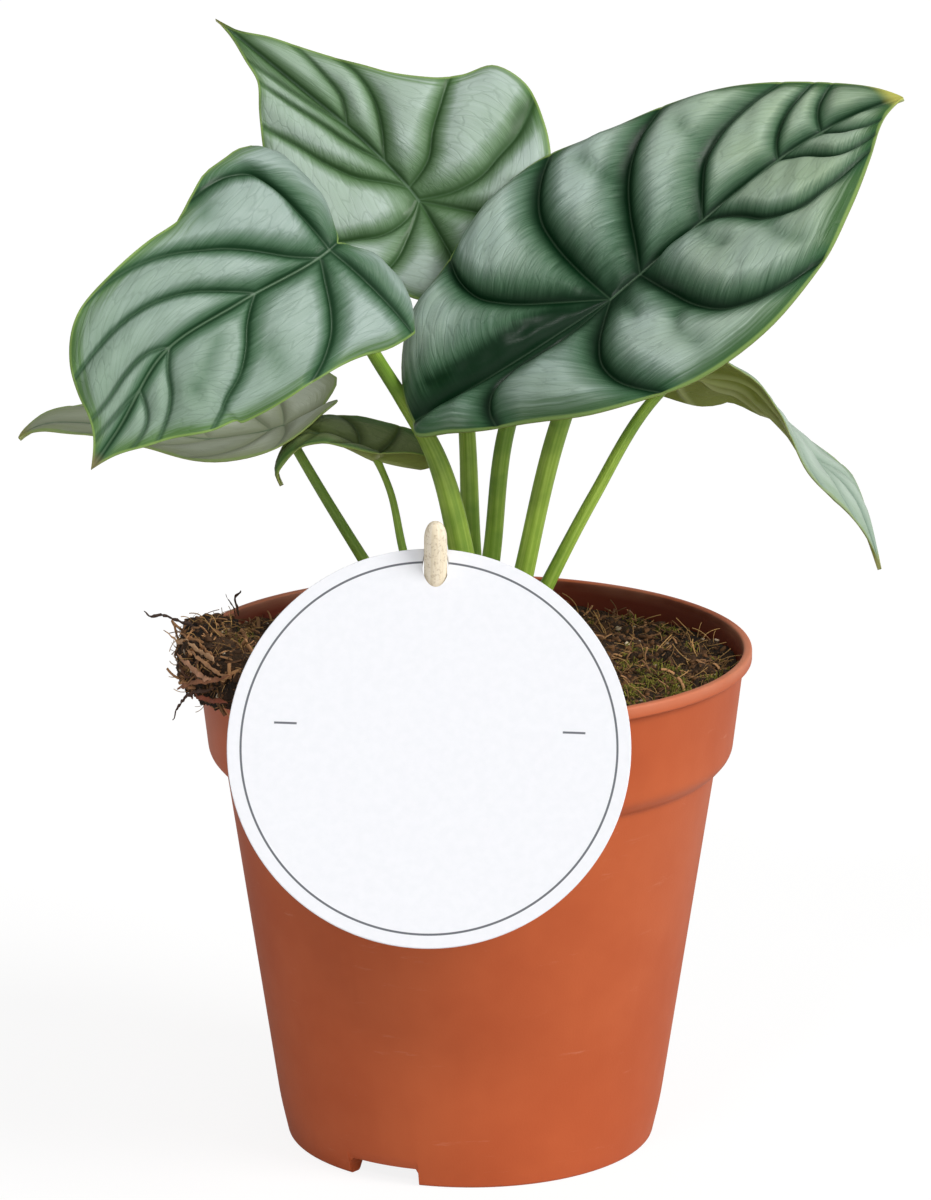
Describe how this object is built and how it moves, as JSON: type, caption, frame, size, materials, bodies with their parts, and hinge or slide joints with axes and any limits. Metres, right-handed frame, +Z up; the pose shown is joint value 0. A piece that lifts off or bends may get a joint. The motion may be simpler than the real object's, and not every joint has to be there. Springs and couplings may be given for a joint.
{
  "type": "potted silver dragon alocasia",
  "caption": "Young house plant with silver-grey, dark-veined leathery leaves on green stalks, in a tapered plastic nursery pot, with a round paper care tag on a stick.",
  "frame": {"origin": "middle of the pot's underside, where its flat centre boss rests on the surface", "axes": "+Z up, the plant's longest extent; the tag hangs on the pot's front, towards -Y, and the largest leaf points to +X"},
  "size_m": [0.1867, 0.141, 0.2336],
  "materials": {
    "pot_plastic": "matte",
    "peat": "matte",
    "leaf_blade": "satin",
    "leaf_stalk": "satin",
    "tag_paper": "matte",
    "stick_wood": "matte"
  },
  "bodies": {
    "root": {"pot": "pot_plastic", "soil": "peat", "blade_front_right": "leaf_blade", "blade_front_left": "leaf_blade", "blade_back": "leaf_blade", "blade_low_left": "leaf_blade", "blade_small_arching": "leaf_blade", "blade_drooping_right": "leaf_blade", "blade_hidden_back_right": "leaf_blade", "stalk_front_right": "leaf_stalk", "stalk_front_left": "leaf_stalk", "stalk_back": "leaf_stalk", "stalk_low_left": "leaf_stalk", "stalk_small_arching": "leaf_stalk", "stalk_drooping_right": "leaf_stalk", "stalk_hidden_back_right": "leaf_stalk", "tag": "tag_paper", "stick": "stick_wood"}
  },
  "joints": []
}
